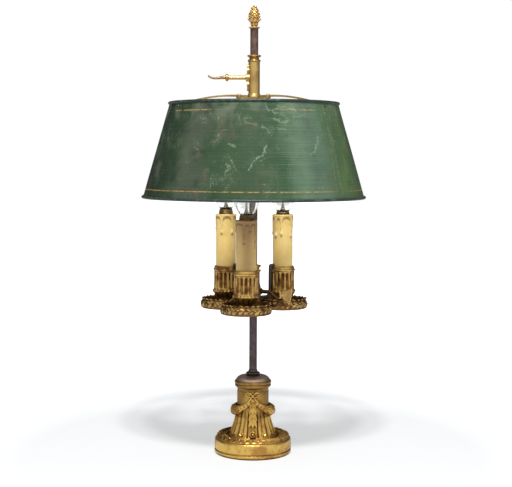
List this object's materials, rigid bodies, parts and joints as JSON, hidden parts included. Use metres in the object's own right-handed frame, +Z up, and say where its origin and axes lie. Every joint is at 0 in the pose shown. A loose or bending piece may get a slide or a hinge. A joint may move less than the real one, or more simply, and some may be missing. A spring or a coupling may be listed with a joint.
{
  "type": "bouillotte lamp",
  "caption": "Table lamp with a round gilt base, a stem, candle lights on a dished tray, and a green metal shade that slides and turns with clamp keys.",
  "frame": {"origin": "centre of the underside of the base, where it rests", "axes": "+Z up along the stem, -Y towards the front light, +X to the right seen from the front"},
  "size_m": [0.3148, 0.3148, 0.6295],
  "materials": {
    "gilt": "gilt cast bronze, worn, brown in the recesses",
    "dark_gilt": "gilt bronze, dulled and brown",
    "brass_plain": "turned brass, satin",
    "plain_brass": "raw brass, inside fittings",
    "dark_steel": "blackened",
    "stem_brown": "purple-brown patinated tube",
    "black_bush": "moulded",
    "baize": "green baize",
    "candle": "cream, aged, wax-like",
    "holder": "brown aged brass",
    "clear_glass": "clear blown glass",
    "lead": "dark covered flex",
    "bulb_metal": "screw cap",
    "filament": "wires and glass stem",
    "shade_green": "green japanned sheet, scratched and rubbed, worn gold lines",
    "shade_rim": "black-green enamel"
  },
  "bodies": {
    "base": {"plinth": "gilt", "plinth_wreath": "gilt", "base_column": "gilt", "column_garlands": "gilt", "column_cap": "dark_gilt", "stem_collar": "dark_steel", "stem": "stem_brown", "tie_washer": "plain_brass", "tie_nut": "plain_brass", "cord_bush": "black_bush", "base_pad": "baize", "finial_dish": "gilt", "finial": "gilt"},
    "tray_liner": {"tray_liner": "plain_brass"},
    "candelabra": {"candle_tray": "gilt", "centre_sleeve": "dark_gilt", "sleeve_collar": "dark_gilt", "cup_front": "gilt", "cup_left": "gilt", "cup_right": "gilt", "tube_front": "candle", "tube_left": "candle", "tube_right": "candle", "holder_front": "holder", "holder_left": "holder", "holder_right": "holder", "bulb_front": "clear_glass", "bulb_left": "clear_glass", "bulb_right": "clear_glass", "lead_front": "lead", "lead_left": "lead", "lead_right": "lead", "candle_nipples": "plain_brass", "nipple_nuts": "plain_brass", "bulb_caps": "bulb_metal", "bulb_mounts": "filament"},
    "lower_key": {"lower_key": "gilt"},
    "carrier_liner": {"carrier_liner": "plain_brass"},
    "shade_carrier": {"carrier_sleeve": "brass_plain", "carrier_collar": "brass_plain", "carrier_boss": "brass_plain", "spider_hub": "brass_plain", "arm_left": "brass_plain", "arm_right": "brass_plain", "arm_back": "brass_plain", "arm_rivets": "brass_plain", "shade_screws": "shade_rim", "shade": "shade_green", "shade_top_rim": "shade_rim", "shade_bottom_rim": "shade_rim"},
    "upper_key": {"upper_key": "brass_plain"}
  },
  "joints": [
    {"name": "candelabra_slide", "type": "slide", "parent": "base", "child": "tray_liner", "axis": [0, 0, 1], "range_m": [-0.03, 0.02]},
    {"name": "candelabra_turn", "type": "hinge", "parent": "tray_liner", "child": "candelabra", "pos_m": [0, 0, 0.2298], "axis": [0, 0, 1], "range_deg": [-60, 60]},
    {"name": "lower_key_turn", "type": "hinge", "parent": "candelabra", "child": "lower_key", "pos_m": [0.01554, -0.01259, 0.2298], "axis": [0.7771, -0.6293, 0], "range_deg": [0, 180]},
    {"name": "shade_slide", "type": "slide", "parent": "base", "child": "carrier_liner", "axis": [0, 0, 1], "range_m": [-0.045, 0.035]},
    {"name": "shade_turn", "type": "hinge", "parent": "carrier_liner", "child": "shade_carrier", "pos_m": [0, 0, 0.53], "axis": [0, 0, 1], "continuous": true},
    {"name": "upper_key_turn", "type": "hinge", "parent": "shade_carrier", "child": "upper_key", "pos_m": [-0.02, 0, 0.529], "axis": [-1, 0, 0], "range_deg": [0, 180]}
  ]
}
